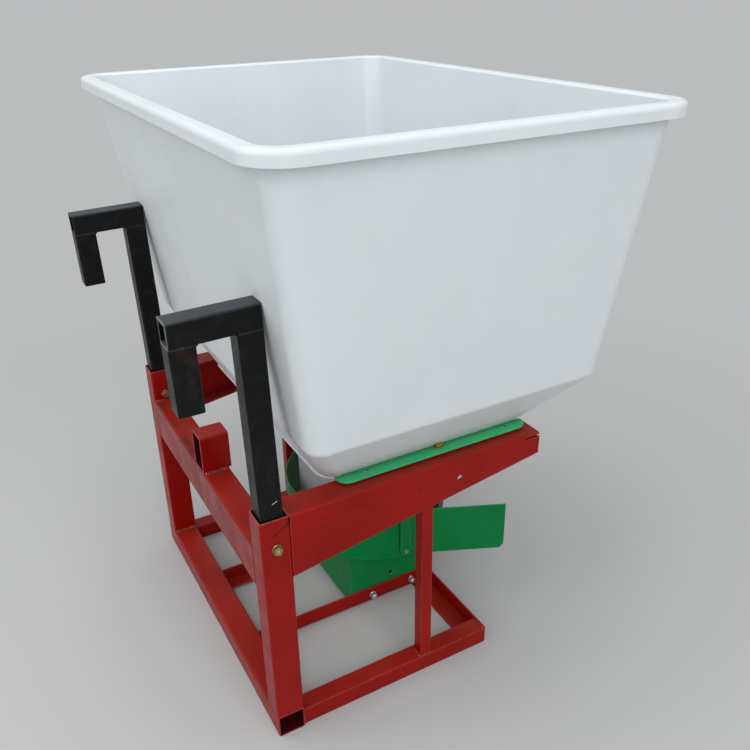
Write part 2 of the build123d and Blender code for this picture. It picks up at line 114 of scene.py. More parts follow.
def calc(tree, operation, a, b=0.0):
    node = tree.nodes.new("ShaderNodeMath")
    node.operation = operation
    connect(tree, a, node.inputs[0])
    connect(tree, b, node.inputs[1])
    return node.outputs["Value"]


def vector(tree, operation, a, b=(0, 0, 0)):
    node = tree.nodes.new("ShaderNodeVectorMath")
    node.operation = operation
    connect(tree, a, node.inputs[0])
    connect(tree, b, node.inputs[1])
    return node.outputs["Value" if operation in ("LENGTH", "DOT_PRODUCT") else "Vector"]


def remap(tree, value, start, end, to_start=0.0, to_end=1.0):
    """The value's range from start to end, stretched to run from to_start to to_end and clamped."""
    node = tree.nodes.new("ShaderNodeMapRange")
    tree.links.new(value, node.inputs["Value"])
    node.inputs["From Min"].default_value = start
    node.inputs["From Max"].default_value = end
    node.inputs["To Min"].default_value = to_start
    node.inputs["To Max"].default_value = to_end
    return node.outputs["Result"]


def mix(tree, factor, a, b):
    """Colour a where the factor is 0, and colour b where it is 1."""
    node = tree.nodes.new("ShaderNodeMix")
    node.data_type = "RGBA"
    # by number, because the colour sockets share their names with those of other kinds
    connect(tree, factor, node.inputs[0])
    connect(tree, a, node.inputs[6])
    connect(tree, b, node.inputs[7])
    return node.outputs[2]


def ramp(tree, source, stops):
    node = tree.nodes.new("ShaderNodeValToRGB")
    elements = node.color_ramp.elements
    while len(elements) < len(stops):
        elements.new(0.5)
    for element, (position, colour) in zip(elements, stops):
        element.position = position
        element.color = colour
    tree.links.new(source, node.inputs["Fac"])
    return node.outputs["Color"]


def bump(tree, height, strength, distance, normal=None):
    node = tree.nodes.new("ShaderNodeBump")
    node.inputs["Strength"].default_value = strength
    node.inputs["Distance"].default_value = distance
    tree.links.new(height, node.inputs["Height"])
    if normal is not None:
        tree.links.new(normal, node.inputs["Normal"])
    return node.outputs["Normal"]


def place(tree):
    """The point on the object. Every object sits at the origin, so it is in the model's frame."""
    return tree.nodes.new("ShaderNodeTexCoord").outputs["Object"]


def noise(tree, scale, detail=4.0, roughness=0.5, along_z=1.0):
    """Soft noise. A small along_z draws it out into upright streaks."""
    mapping = tree.nodes.new("ShaderNodeMapping")
    mapping.inputs["Scale"].default_value = (1.0, 1.0, along_z)
    tex = tree.nodes.new("ShaderNodeTexNoise")
    tex.inputs["Scale"].default_value = scale
    tex.inputs["Detail"].default_value = detail
    tex.inputs["Roughness"].default_value = roughness
    tree.links.new(place(tree), mapping.inputs["Vector"])
    tree.links.new(mapping.outputs["Vector"], tex.inputs["Vector"])
    return tex.outputs["Fac"]


def uneven(tree, source, least, most):
    """Roughness that follows a noise."""
    return remap(tree, source, 0.3, 0.7, least, most)


def specks(tree, scale, size, share):
    """Small round specks: 1 in a speck and 0 elsewhere. Only a share of the cells has one."""
    tex = tree.nodes.new("ShaderNodeTexVoronoi")
    tex.inputs["Scale"].default_value = scale
    tree.links.new(place(tree), tex.inputs["Vector"])
    parts = tree.nodes.new("ShaderNodeSeparateColor")
    tree.links.new(tex.outputs["Color"], parts.inputs["Color"])
    near = remap(tree, tex.outputs["Distance"], size, size * 0.4)
    chosen = calc(tree, "LESS_THAN", parts.outputs["Red"], share)
    return calc(tree, "MULTIPLY", near, chosen)


def upward(tree):
    """1 on faces that look up and 0 on walls and undersides."""
    parts = tree.nodes.new("ShaderNodeSeparateXYZ")
    tree.links.new(tree.nodes.new("ShaderNodeNewGeometry").outputs["Normal"], parts.inputs[0])
    return remap(tree, parts.outputs["Z"], 0.5, 0.95)


def openness(tree, distance):
    """1 where nothing is within the distance, and less in corners."""
    node = tree.nodes.new("ShaderNodeAmbientOcclusion")
    node.samples = 6
    node.inputs["Distance"].default_value = distance
    return node.outputs["AO"]


def edges(tree, radius):
    """1 along sharp edges and 0 on flat faces."""
    rounded = tree.nodes.new("ShaderNodeBevel")
    rounded.samples = 4
    rounded.inputs["Radius"].default_value = radius
    straight = tree.nodes.new("ShaderNodeNewGeometry").outputs["Normal"]
    return remap(tree, vector(tree, "DOT_PRODUCT", rounded.outputs["Normal"], straight), 0.985, 0.86)


# Marks: masks that are 1 in the mark and 0 elsewhere, placed in mm


def streak(tree, start, end, reach):
    """A mark along a line from start to end, ragged, and fading out at its reach to either side."""
    a, b = Vector(start) / MM_PER_METRE, Vector(end) / MM_PER_METRE
    reach = reach / MM_PER_METRE
    away = vector(tree, "SUBTRACT", place(tree), a)
    along = calc(tree, "DIVIDE", vector(tree, "DOT_PRODUCT", away, b - a), (b - a).length_squared)
    held = calc(tree, "MINIMUM", calc(tree, "MAXIMUM", along, 0.0), 1.0)
    nearest = tree.nodes.new("ShaderNodeVectorMath")
    nearest.operation = "SCALE"
    nearest.inputs[0].default_value = b - a
    tree.links.new(held, nearest.inputs["Scale"])
    far = vector(tree, "LENGTH", vector(tree, "SUBTRACT", away, nearest.outputs["Vector"]))
    mask = remap(tree, far, reach, reach * 0.4)
    ragged = remap(tree, noise(tree, 260.0, 3.0), 0.36, 0.52, 0.25, 1.0)
    return calc(tree, "MULTIPLY", mask, ragged)


def within(tree, low_corner, high_corner):
    """1 inside a box and 0 outside."""
    parts = tree.nodes.new("ShaderNodeSeparateXYZ")
    tree.links.new(place(tree), parts.inputs[0])
    found = 1.0
    for axis, start, end in zip("XYZ", low_corner, high_corner):
        for operation, limit in (("GREATER_THAN", start), ("LESS_THAN", end)):
            inside = calc(tree, operation, parts.outputs[axis], limit / MM_PER_METRE)
            found = calc(tree, "MULTIPLY", inside, found)
    return found


def grimy(tree, low_corner, high_corner):
    """Ragged patches of grime inside a box."""
    ragged = remap(tree, noise(tree, 24.0, 5.0, 0.7), 0.44, 0.64)
    return calc(tree, "MULTIPLY", within(tree, low_corner, high_corner), ragged)


def mark(maker, *where):
    """A mask maker for a mark at a given place."""
    return lambda tree: maker(tree, *where)


# Materials


def paint(
    name, base, dust, edge_wear_and_highlight, roughness, specular, dust_and_sheen_amount=0.10, grain=0.0, patchy=None, marks=()
):
    """Sprayed paint on steel. It varies slowly, runs darker in faint streaks, is lighter on top from
    dust and painted sheen, is darkened in corners as painted shade, is worn pale along the edges with
    a painted highlight there, and has a little orange peel. Dusty is how much dust and painted sheen
    lies on top, grain is added to the orange peel, patchy is the colour of rough patches, if there
    are any, and marks are (mask maker, colour, amount)."""
    mat, tree, bsdf = new_material(name)
    dark, light, mottle, corner_shade_colour = shades(base, 0.84, 1.14, 0.62, 0.30)
    tone = ramp(tree, noise(tree, 5.0, 4.0, 0.55), ((0.32, dark), (0.52, base), (0.72, light)))
    runs = noise(tree, 16.0, 3.0, along_z=0.12)
    tone = mix(tree, remap(tree, runs, 0.50, 0.72, to_end=0.22), tone, dark)
    mottled = noise(tree, 85.0, 3.0, 0.6)
    tone = mix(tree, remap(tree, mottled, 0.52, 0.80, to_end=0.35), tone, mottle)
    if patchy:
        rough_spots = noise(tree, 34.0, 6.0, 0.72)
        tone = mix(tree, remap(tree, rough_spots, 0.50, 0.72, to_end=0.75), tone, patchy)

    # dust and painted sheen: faces that look up are made lighter
    spread = remap(tree, noise(tree, 11.0), 0.25, 0.75, 0.3, 1.0)
    dust_and_sheen_mask = calc(tree, "MULTIPLY", upward(tree), spread)
    tone = mix(tree, calc(tree, "MULTIPLY", dust_and_sheen_mask, dust_and_sheen_amount), tone, dust)
    # painted shade: darker in corners, where other surfaces are near
    openly = openness(tree, 0.016)
    tone = mix(tree, remap(tree, openly, 0.75, 0.25, to_end=0.65), tone, corner_shade_colour)

    # pale worn paint along the edges, which is also a painted highlight there
    worn = remap(tree, noise(tree, 45.0, 5.0, 0.65), 0.38, 0.62, 0.30, 0.90)
    worn_and_highlit_edges = calc(tree, "MULTIPLY", edges(tree, 0.0034), worn)
    worn_and_highlit_edges = calc(tree, "MULTIPLY", worn_and_highlit_edges, remap(tree, openly, 0.45, 0.65))
    tone = mix(tree, worn_and_highlit_edges, tone, edge_wear_and_highlight)
    tone = mix(tree, calc(tree, "MULTIPLY", specks(tree, 60.0, 0.07, 0.12), 0.30), tone, dust)
    for maker, colour, amount in marks:
        tone = mix(tree, calc(tree, "MULTIPLY", maker(tree), amount), tone, colour)

    waves = bump(tree, noise(tree, 9.0, 2.0), 0.04, 0.003)
    peel = bump(tree, noise(tree, 240.0, 2.0), 0.14 + grain, 0.0006, waves)
    rough = uneven(tree, noise(tree, 18.0), roughness - 0.05, roughness + 0.09)
    surface(tree, bsdf, tone, rough, peel)
    bsdf.inputs["Specular IOR Level"].default_value = specular
    return mat


def plastic(name, white, drawn, dust, speck):
    """Moulded plastic: clouds in its tone, faint upright drawing marks, a film of dust and specks."""
    mat, tree, bsdf = new_material(name)
    dark, light = shades(white, 0.955, 1.04)
    cloudy = noise(tree, 2.6, 5.0, 0.6, along_z=0.7)
    tone = ramp(tree, cloudy, ((0.30, dark), (0.52, white), (0.76, light)))
    lines = noise(tree, 15.0, 3.0, 0.55, along_z=0.16)
    tone = mix(tree, remap(tree, lines, 0.52, 0.76, to_end=0.30), tone, drawn)
    dusted = noise(tree, 7.0, 5.0, 0.65)
    tone = mix(tree, remap(tree, dusted, 0.55, 0.85, to_end=0.20), tone, dust)
    tone = mix(tree, calc(tree, "MULTIPLY", specks(tree, 24.0, 0.035, 0.10), 0.45), tone, speck)
    swells = bump(tree, noise(tree, 5.0, 2.0), 0.12, 0.010)
    grained = bump(tree, noise(tree, 150.0, 3.0), 0.06, 0.0008, swells)
    surface(tree, bsdf, tone, uneven(tree, noise(tree, 12.0), 0.36, 0.50), grained)
    bsdf.inputs["Specular IOR Level"].default_value = 0.4
    bsdf.inputs["Subsurface Weight"].default_value = 0.15
    bsdf.inputs["Subsurface Radius"].default_value = (0.010, 0.010, 0.010)
    return mat


def metal(name, colour, light, stain, roughness):
    """Plated or bare steel, with a cloudy tone, dull patches, and painted shade darkening its corners."""
    mat, tree, bsdf = new_material(name)
    tone = ramp(tree, noise(tree, 22.0), ((0.30, colour), (0.74, light)))
    dull = noise(tree, 190.0, 4.0, 0.6)
    tone = mix(tree, remap(tree, dull, 0.50, 0.75, to_end=0.35), tone, stain)
    # painted shade: darker where other surfaces are very near
    corner_shade_mask = remap(tree, openness(tree, 0.004), 0.8, 0.3, to_end=0.7)
    tone = mix(tree, corner_shade_mask, tone, shades(stain, 0.4)[0])
    rough = uneven(tree, noise(tree, 40.0, 3.0), roughness - 0.05, roughness + 0.08)
    surface(tree, bsdf, tone, rough, bump(tree, noise(tree, 420.0, 2.0), 0.10, 0.0004))
    bsdf.inputs["Metallic"].default_value = 0.9
    return mat


def weld_paint(
    name, scale, stops, fleck_noise, fleck_range, fleck_amount, fleck_colour, roughness, specular
):
    """Paint over a weld: scaly, with flecks where it has burnt off. The flecks' noise is its scale
    and roughness, and they come in over the range given, up to their amount."""
    mat, tree, bsdf = new_material(name)
    scaly = noise(tree, scale, 4.0, 0.6)
    fleck_scale, fleck_roughness = fleck_noise
    flecks = noise(tree, fleck_scale, 3.0, fleck_roughness)
    burnt = remap(tree, flecks, *fleck_range, to_end=fleck_amount)
    tone = mix(tree, burnt, ramp(tree, scaly, stops), fleck_colour)
    grained = bump(tree, noise(tree, 500.0, 3.0), 0.25, 0.0005)
    surface(tree, bsdf, tone, uneven(tree, scaly, *roughness), grained)
    bsdf.inputs["Specular IOR Level"].default_value = specular
    return mat


scuff = linear(34, 14, 10)
# painted shade for the insides of the beam, the socket and the posts
painted_bore_shade = linear(20, 8, 6)
rim_red = linear(178, 92, 80)
grime = linear(74, 38, 26)
red_marks = [
    # grime on the crossbar's top and front, and at the foot of the socket
    (mark(grimy, (-363, -373, 505), (-12, -352, 511.5)), grime, 0.70),
    (mark(grimy, (-364, -373, 404), (364, -370, 509)), grime, 0.55),
    (mark(grimy, (-2, -373, 500), (60, -371, 520)), grime, 0.60),
    # painted shade inside the beam and the socket
    (mark(within, (-426, -368.6, 3.4), (426, -310.4, 56.6)), painted_bore_shade, 0.85),
    (mark(within, (2.4, -373, 514.4), (53.6, -301, 603.6)), painted_bore_shade, 0.85),
    # scratches on the outer faces of the near post and the near arm
    (mark(streak, (HALF_WIDTH, -342.6, 562.1), (HALF_WIDTH, -312, 581), 2.2), scuff, 0.95),
    (mark(streak, (HALF_WIDTH, -312, 580), (HALF_WIDTH, -309, 592), 5.0), scuff, 0.95),
    (mark(streak, (HALF_WIDTH, -258, 582), (HALF_WIDTH, -228, 560), 2.4), scuff, 0.38),
    (mark(streak, (HALF_WIDTH, -248, 548), (HALF_WIDTH, -214, 538), 2.6), scuff, 0.34),
    (mark(streak, (HALF_WIDTH, -176, 574), (HALF_WIDTH, -120, 556), 2.2), scuff, 0.30),
    (mark(streak, (HALF_WIDTH, -16, 578), (HALF_WIDTH, 6, 548), 3.0), scuff, 0.36),
    (mark(streak, (HALF_WIDTH, 8, 570), (HALF_WIDTH, 26, 532), 2.6), scuff, 0.30),
]
# bare rims of the posts, and painted shade inside them
for sign in (1, -1):
    left, right = sorted((sign * 364, sign * 426))
    rim = mark(within, (left, POST_FRONT - 1, 599.4), (right, POST_REAR + 1, POST_TOP + 1))
    red_marks.append((rim, rim_red, 0.55))
    left, right = sorted((sign * 367.4, sign * 422.6))
    inside = mark(within, (left, -369.6, 62), (right, -309.4, 598))
    red_marks.append((inside, painted_bore_shade, 0.85))

rust = linear(58, 36, 24)
black_marks = [
    # rust on the near hook's drop
    (mark(streak, (HOOK_OUTER, -480, 1003), (HOOK_OUTER, -460, 978), 14.0), rust, 0.38),
    (mark(streak, (HOOK_OUTER, -470, 960), (HOOK_OUTER, -462, 910), 7.0), rust, 0.14),
    # bare scratches, low on the near stem and higher on the far stem
    (
        mark(streak, (HOOK_OUTER, -338.6, 635.9), (HOOK_OUTER, -329.1, 639.8), 1.5),
        linear(190, 190, 186),
        0.95,
    ),
    (
        mark(streak, (-HOOK_INNER, -324, 852), (-HOOK_INNER, -321, 872), 3.2),
        linear(120, 122, 128),
        0.75,
    ),
    # cut end of the near hook's top tube
    (mark(within, (368, -502, 1005.5), (422, -497.6, 1060)), linear(140, 142, 140), 0.45),
]

# In these paints the lighter tops are partly painted sheen, the pale edges partly painted highlights, and
# the darker corners painted shade
red_paint = paint(
    "red_paint",
    base=linear(141, 12, 5),
    dust=linear(196, 94, 78),
    edge_wear_and_highlight=linear(196, 84, 72),
    roughness=0.33,
    specular=0.16,
    dust_and_sheen_amount=0.17,
    marks=red_marks,
)
green_paint = paint(
    "green_paint",
    base=linear(4, 124, 61),
    dust=linear(150, 190, 164),
    edge_wear_and_highlight=linear(84, 178, 122),
    roughness=0.35,
    specular=0.14,
    dust_and_sheen_amount=0.22,
)
# painted light: the strips get their green made lighter than the paint elsewhere
strip_paint_painted_light = paint(
    "strip_paint_painted_light",
    base=linear(52, 186, 116),
    dust=linear(150, 190, 164),
    edge_wear_and_highlight=linear(120, 200, 154),
    roughness=0.35,
    specular=0.14,
    dust_and_sheen_amount=0.15,
)
black_paint = paint(
    "black_paint",
    base=linear(9, 10, 11),
    dust=linear(112, 117, 126),
    edge_wear_and_highlight=linear(92, 94, 96),
    roughness=0.38,
    specular=0.17,
    dust_and_sheen_amount=0.38,
    grain=0.25,
    patchy=linear(30, 31, 33),
    marks=black_marks,
)
# painted shade: the drum's grey is made darker for the shade under the hopper
drum_grey = paint(
    "drum_grey",
    base=linear(170, 173, 174),
    dust=linear(170, 168, 160),
    edge_wear_and_highlight=linear(196, 198, 199),
    roughness=0.42,
    specular=0.3,
)
motor_iron = paint(
    "motor_iron",
    base=linear(44, 46, 48),
    dust=linear(110, 106, 98),
    edge_wear_and_highlight=linear(80, 82, 84),
    roughness=0.55,
    specular=0.3,
)
hopper_plastic = plastic(
    "hopper_plastic",
    white=linear(214, 219, 222),
    drawn=linear(205, 211, 215),
    dust=linear(206, 202, 194),
    speck=linear(96, 88, 80),
)
# name, tone, lighter tone, stain and roughness
zinc_steel = metal(
    "zinc_steel", linear(152, 155, 158), linear(178, 181, 183), linear(126, 125, 122), 0.40
)
disc_steel = metal(
    "disc_steel", linear(148, 151, 154), linear(174, 177, 180), linear(124, 120, 114), 0.40
)
yellow_zinc = metal(
    "yellow_zinc", linear(150, 138, 102), linear(192, 182, 144), linear(94, 80, 54), 0.34
)
brass_zinc = metal(
    "brass_zinc", linear(188, 134, 66), linear(222, 180, 110), linear(132, 78, 38), 0.34
)
bright_zinc = metal(
    "bright_zinc", linear(196, 206, 220), linear(226, 232, 240), linear(110, 116, 130), 0.28
)
weld_red = weld_paint(
    "weld_red",
    scale=130.0,
    stops=((0.32, linear(64, 14, 10)), (0.50, linear(128, 20, 14)), (0.70, linear(156, 38, 28))),
    fleck_noise=(310.0, 0.6),
    fleck_range=(0.62, 0.70),
    fleck_amount=0.7,
    fleck_colour=linear(196, 172, 160),
    roughness=(0.30, 0.50),
    specular=0.35,
)
weld_black = weld_paint(
    "weld_black",
    scale=140.0,
    stops=((0.34, linear(5, 5, 6)), (0.54, linear(14, 14, 15)), (0.74, linear(48, 46, 44))),
    fleck_noise=(240.0, 0.5),
    fleck_range=(0.60, 0.72),
    fleck_amount=0.5,
    fleck_colour=linear(84, 64, 48),
    roughness=(0.36, 0.55),
    specular=0.25,
)

slot_materials = {
    "red_paint": red_paint,
    "green_paint": green_paint,
    "black_paint": black_paint,
    "hopper_plastic": hopper_plastic,
    "drum_grey": drum_grey,
    "zinc_steel": zinc_steel,
    "disc_steel": disc_steel,
    "motor_iron": motor_iron,
}

# CAD nodes: their record's slot gives the material, but the strips get their green made lighter
# as painted light, and a small bevel rounds the edges
EDGE_WIDTHS = {
    "hopper_plastic": 0.0025,
    "red_paint": 0.0020,
    "black_paint": 0.0022,
    "green_paint": 0.0008,
}
OTHER_EDGE_WIDTH = 0.0006
for part in frame["record"]["subparts"]:
    obj = nodes[part["node"]]
    slot_name = part["material_slot"]
    is_strip = part["node"].startswith("hopper_strip")
    obj.data.materials.clear()
    obj.data.materials.append(strip_paint_painted_light if is_strip else slot_materials[slot_name])
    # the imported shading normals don't fit rounded edges; vertices and faces stay as they are
    if "custom_normal" in obj.data.attributes:
        obj.data.attributes.remove(obj.data.attributes["custom_normal"])
    for polygon in obj.data.polygons:
        polygon.use_smooth = True
    weld = obj.modifiers.new("weld", "WELD")
    weld.merge_threshold = 0.00002
    flat = obj.modifiers.new("flat", "DECIMATE")
    flat.decimate_type = "DISSOLVE"
    flat.angle_limit = math.radians(0.4)
    bevel = obj.modifiers.new("bevel", "BEVEL")
    bevel.width = EDGE_WIDTHS.get(slot_name, OTHER_EDGE_WIDTH)
    bevel.segments = 2
    bevel.limit_method = "ANGLE"
    bevel.angle_limit = math.radians(32)
    weighted = obj.modifiers.new("weighted", "WEIGHTED_NORMAL")
    weighted.weight = 50
    weighted.keep_sharp = False


# Fasteners

ROUND_SEGMENTS = 28
HEXAGON_SEGMENTS = 36


def mirrored(point, sign):
    """A point or direction of the left side, or its like on the right side where sign is -1."""
    return (sign * point[0], *point[1:])


def add_piece(name, bm, material, replaced=()):
    mesh = bpy.data.meshes.new(name)
    bmesh.ops.recalc_face_normals(bm, faces=bm.faces)
    bm.to_mesh(mesh)
    bm.free()
    mesh.materials.append(material)
    obj = bpy.data.objects.new(name, mesh)
    bpy.context.scene.collection.objects.link(obj)
    for polygon in mesh.polygons:
        polygon.use_smooth = True
    mesh.set_sharp_from_angle(angle=math.radians(35))
    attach(obj, "frame")
    if replaced:
        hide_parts(*replaced)


def skin(bm, rings):
    """Joins rings of points one after another. A ring of one point closes the form."""
    for first, second in zip(rings, rings[1:]):
        count = max(len(first), len(second))
        for i in range(count):
            j = (i + 1) % count
            corners = (
                first[i % len(first)],
                first[j % len(first)],
                second[j % len(second)],
                second[i % len(second)],
            )
            bm.faces.new(list(dict.fromkeys(corners)))


def vertex(bm, matrix, radius, angle, height):
    """A new vertex of a turned form that stands on the matrix's Z axis, in mm."""
    point = Vector((radius * math.cos(angle), radius * math.sin(angle), height))
    return bm.verts.new(matrix @ (point / MM_PER_METRE))


def turned_rings(bm, matrix, profile):
    """One ring for each (radius, height) pair in mm. A pair on the axis gives a single point."""
    rings = []
    for radius, height in profile:
        count = ROUND_SEGMENTS if radius > 0 else 1
        angles = (2 * math.pi * i / count for i in range(count))
        rings.append([vertex(bm, matrix, radius, angle, height) for angle in angles])
    return rings


def hexagon(bm, matrix, across, start, end):
    """A hexagon between two heights in mm, with its corners chamfered at both ends as on a nut."""
    flat_circle, slope = 0.475 * across, 0.55
    angles = [2 * math.pi * i / HEXAGON_SEGMENTS for i in range(HEXAGON_SEGMENTS)]
    rings = [[vertex(bm, matrix, 0, 0, start)]]
    for at_corner, base, way in ((False, start, 1), (True, start, 1), (True, end, -1), (False, end, -1)):
        ring = []
        for angle in angles:
            radius = flat_circle
            if at_corner:
                radius = across / 2 / math.cos(angle % (math.pi / 3) - math.pi / 6)
            height = base + way * (radius - flat_circle) * slope
            ring.append(vertex(bm, matrix, radius, angle, height))
        rings.append(ring)
    rings.append([vertex(bm, matrix, 0, 0, end)])
    skin(bm, rings)


def washer(bm, matrix, bore, radius, thick):
    """A ring with its outer top edge chamfered, in mm."""
    profile = ((bore, 0), (radius, 0), (radius, 0.7 * thick), (radius - 0.4 * thick, thick), (bore, thick))
    rings = turned_rings(bm, matrix, profile)
    skin(bm, rings + rings[:1])


def through_bolt(name, start, end, size, material, replaced=()):
    """A hexagon bolt with its head at start, and its nut and thread at end. Points and size are in mm,
    and the size is the thread's diameter."""
    head_point, nut_point = Vector(start) / MM_PER_METRE, Vector(end) / MM_PER_METRE
    axis = (nut_point - head_point).normalized()
    length = (nut_point - head_point).length * MM_PER_METRE
    across, plate = 1.6 * size, 0.16 * size
    crest, root, pitch, turns = 0.5 * size, 0.44 * size, 0.14 * size, 4
    bm = bmesh.new()
    for point, direction, is_nut in ((head_point, -axis, False), (nut_point, axis, True)):
        matrix = Matrix.Translation(point) @ direction.to_track_quat("Z", "Y").to_matrix().to_4x4()
        matrix = matrix @ Matrix.Rotation(rng.uniform(0, math.pi / 3), 4, "Z")
        washer(bm, matrix, 0.53 * size, size, plate)
        top = plate + (0.8 if is_nut else 0.62) * size
        hexagon(bm, matrix, across, plate, top)
        if is_nut:
            # the shank, which reaches back to the head, and the thread that stands out of the nut
            profile = [(0, -length - 0.05), (crest, -length - 0.05), (crest, top - 1)]
            for turn in range(turns):
                profile += [(crest, top + turn * pitch), (root, top + (turn + 0.5) * pitch)]
            profile += [(0.40 * size, top + turns * pitch), (0, top + turns * pitch)]
        else:
            # the low round crown on the head
            profile = [(0, top - 0.5), (0.70 * size, top - 0.5), (0.66 * size, top + 0.12), (0, top + 0.2)]
        skin(bm, turned_rings(bm, matrix, profile))
    add_piece(name, bm, material, replaced)


bolts = (
    # name, head, nut, size and finish, on the left side in mm
    (
        "hook_bolt_detail_",
        (POST_INNER, HOOK_PIVOT_Y, HOOK_PIVOT_Z),
        (HALF_WIDTH, HOOK_PIVOT_Y, HOOK_PIVOT_Z),
        11,
        yellow_zinc,
    ),
    ("strip_bolt_", (370, 87, 609), (370, 87, ARM_UNDERSIDE), 10, brass_zinc),
    ("bearer_bolt_front_", (133, 33, 23), (BEARER_SIDE, 33, 23), 10, bright_zinc),
    ("bearer_bolt_rear_", (133, 158, 25), (BEARER_SIDE, 158, 25), 10, bright_zinc),
    ("strap_bolt_", (239, 80, 224), (231, 80, 224), 6, zinc_steel),
)
for side, sign in (("left", 1), ("right", -1)):
    for name, head, nut, size, material in bolts:
        replaced = ("hook_bolt_" + side,) if name == "hook_bolt_detail_" else ()
        through_bolt(name + side, mirrored(head, sign), mirrored(nut, sign), size, material, replaced)


# Weld beads

# Outlines across a bead, as shares of its size along out and up: one for the corner between two
# faces, and one for a face that goes on to both sides
CORNER_BEAD = (
    (1.05, -0.06),
    (0.85, 0.30),
    (0.58, 0.58),
    (0.30, 0.85),
    (-0.06, 1.05),
    (-0.15, -0.15),
)
SURFACE_BEAD = (
    (1.0, -0.10),
    (0.72, 0.32),
    (0.25, 0.50),
    (-0.25, 0.50),
    (-0.72, 0.32),
    (-1.0, -0.10),
    (0, -0.3),
)
RING_SPACING = 1.9


def bead(bm, start, end, out, up, size, spatter=3, outline=CORNER_BEAD):
    """A hand-laid weld from start to end, in mm, with the uneven ripples of the real thing. It lies in
    the corner of two faces and stands off it along out and up. With the surface outline, it lies on
    a face that looks along up, and spreads along out to both sides."""
    start, end, out, up = (Vector(v) for v in (start, end, out, up))
    along = (end - start).normalized()
    length = (end - start).length
    steps = max(6, round(length / RING_SPACING))
    pace, phase = rng.uniform(5.0, 6.5), rng.uniform(0, 6)
    core = (out + up) * size * 0.1
    rings = [[bm.verts.new((start + core) / MM_PER_METRE)]]
    for i in range(steps + 1):
        at = length * i / steps
        ripple = 0.13 * (1 - 2 * ((at / pace + phase) % 1.0)) + rng.uniform(-0.07, 0.07)
        drift = 0.14 * math.sin(at / 9 + phase)
        ends = min(1.0, 0.45 + min(at, length - at) / (1.2 * size))
        radius = size * (1 + ripple + drift) * ends
        ring = []
        for a, b in outline:
            bulge = along * size * 0.35 * max(0.0, a + b - 0.6)
            point = start + along * at + (out * a + up * b) * radius + bulge
            ring.append(bm.verts.new(point / MM_PER_METRE))
        rings.append(ring)
    rings.append([bm.verts.new((end + core) / MM_PER_METRE)])
    skin(bm, rings)
    for _ in range(spatter):
        at = start + along * rng.uniform(0.05, 0.95) * length
        near = out if rng.random() < 0.6 else up
        spot = at + near * size * rng.uniform(1.2, 2.6)
        matrix = Matrix.Translation(spot / MM_PER_METRE)
        matrix = matrix @ Matrix.Scale(rng.uniform(0.4, 0.9) / MM_PER_METRE, 4)
        bmesh.ops.create_icosphere(bm, subdivisions=1, radius=1.0, matrix=matrix)


INWARD, OUTWARD = (-1, 0, 0), (1, 0, 0)
FORWARD, REARWARD = (0, -1, 0), (0, 1, 0)
UP, DOWN = (0, 0, 1), (0, 0, -1)


def line_x(x_start, x_end, y, z):
    return (x_start, y, z), (x_end, y, z)


def line_y(x, y_start, y_end, z):
    return (x, y_start, z), (x, y_end, z)


def line_z(x, y, z_start, z_end):
    return (x, y, z_start), (x, y, z_end)


frame_beads = (
    # line, out, up, size, spatter, and the outline if it is another, on the left side in mm
    # posts on the beam, and the crossbar between the posts
    (line_y(POST_INNER, -371, -308, BEAM_TOP), INWARD, UP, 5.0, 6),
    (line_x(366, 419, POST_REAR, BEAM_TOP), UP, REARWARD, 3.0, 0, SURFACE_BEAD),
    (line_y(POST_INNER, -371, -308, CROSSBAR_TOP), INWARD, UP, 4.5, 6),
    (line_y(POST_INNER, -370, -309, CROSSBAR_BOTTOM), INWARD, DOWN, 4.0, 3),
    # arms on the posts
    (line_z(ARM_WEB, POST_REAR, 446, 592), INWARD, REARWARD, 4.5, 3),
    (line_x(366, 416, POST_REAR, ARM_UNDERSIDE), REARWARD, DOWN, 4.0, 3),
    # bottom rails between the beam and the rear angle
    (line_x(377, 419, POST_REAR, RAIL_TOP), REARWARD, UP, 4.5, 3),
    (line_z(RAIL_OUTER, POST_REAR, 3, 43), OUTWARD, REARWARD, 3.2, 1),
    (line_z(RAIL_INNER, POST_REAR, 3, 43), INWARD, REARWARD, 4.0, 1),
    (line_x(377, 418, RAIL_REAR, RAIL_TOP), FORWARD, UP, 3.6, 3),
    (line_z(RAIL_INNER, RAIL_REAR, 7, 43), INWARD, FORWARD, 4.0, 1),
    # uprights between rails and arms
    (line_x(388, 416, UPRIGHT_FRONT, RAIL_TOP), FORWARD, UP, 4.0, 3),
    (line_x(388, 416, UPRIGHT_REAR, RAIL_TOP), REARWARD, UP, 4.0, 3),
    (line_y(UPRIGHT_INNER, 16, 44, RAIL_TOP), INWARD, UP, 3.6, 3),
    (line_y(UPRIGHT_OUTER, 17, 43, RAIL_TOP), OUTWARD, UP, 2.4, 1),
    (line_x(388, 416, UPRIGHT_FRONT, 490), FORWARD, DOWN, 3.6, 1),
    (line_x(388, 416, UPRIGHT_REAR, 494.6), REARWARD, DOWN, 3.6, 1),
    # bearers between the beam and the rear angle
    (line_z(BEARER_SIDE, POST_REAR, 7, 48), OUTWARD, REARWARD, 4.0, 3),
    (line_z(BEARER_SIDE, RAIL_REAR, 7, 48), OUTWARD, FORWARD, 4.0, 3),
    # flat bar under the arms' tips
    (line_x(366, 408, 327, ARM_UNDERSIDE), FORWARD, DOWN, 4.0, 1),
)
frame_welds = bmesh.new()
for sign in (1, -1):
    for (start, end), out, up, size, spatter, *outline in frame_beads:
        start, end, out, up = (mirrored(v, sign) for v in (start, end, out, up))
        bead(frame_welds, start, end, out, up, size, spatter, *outline)
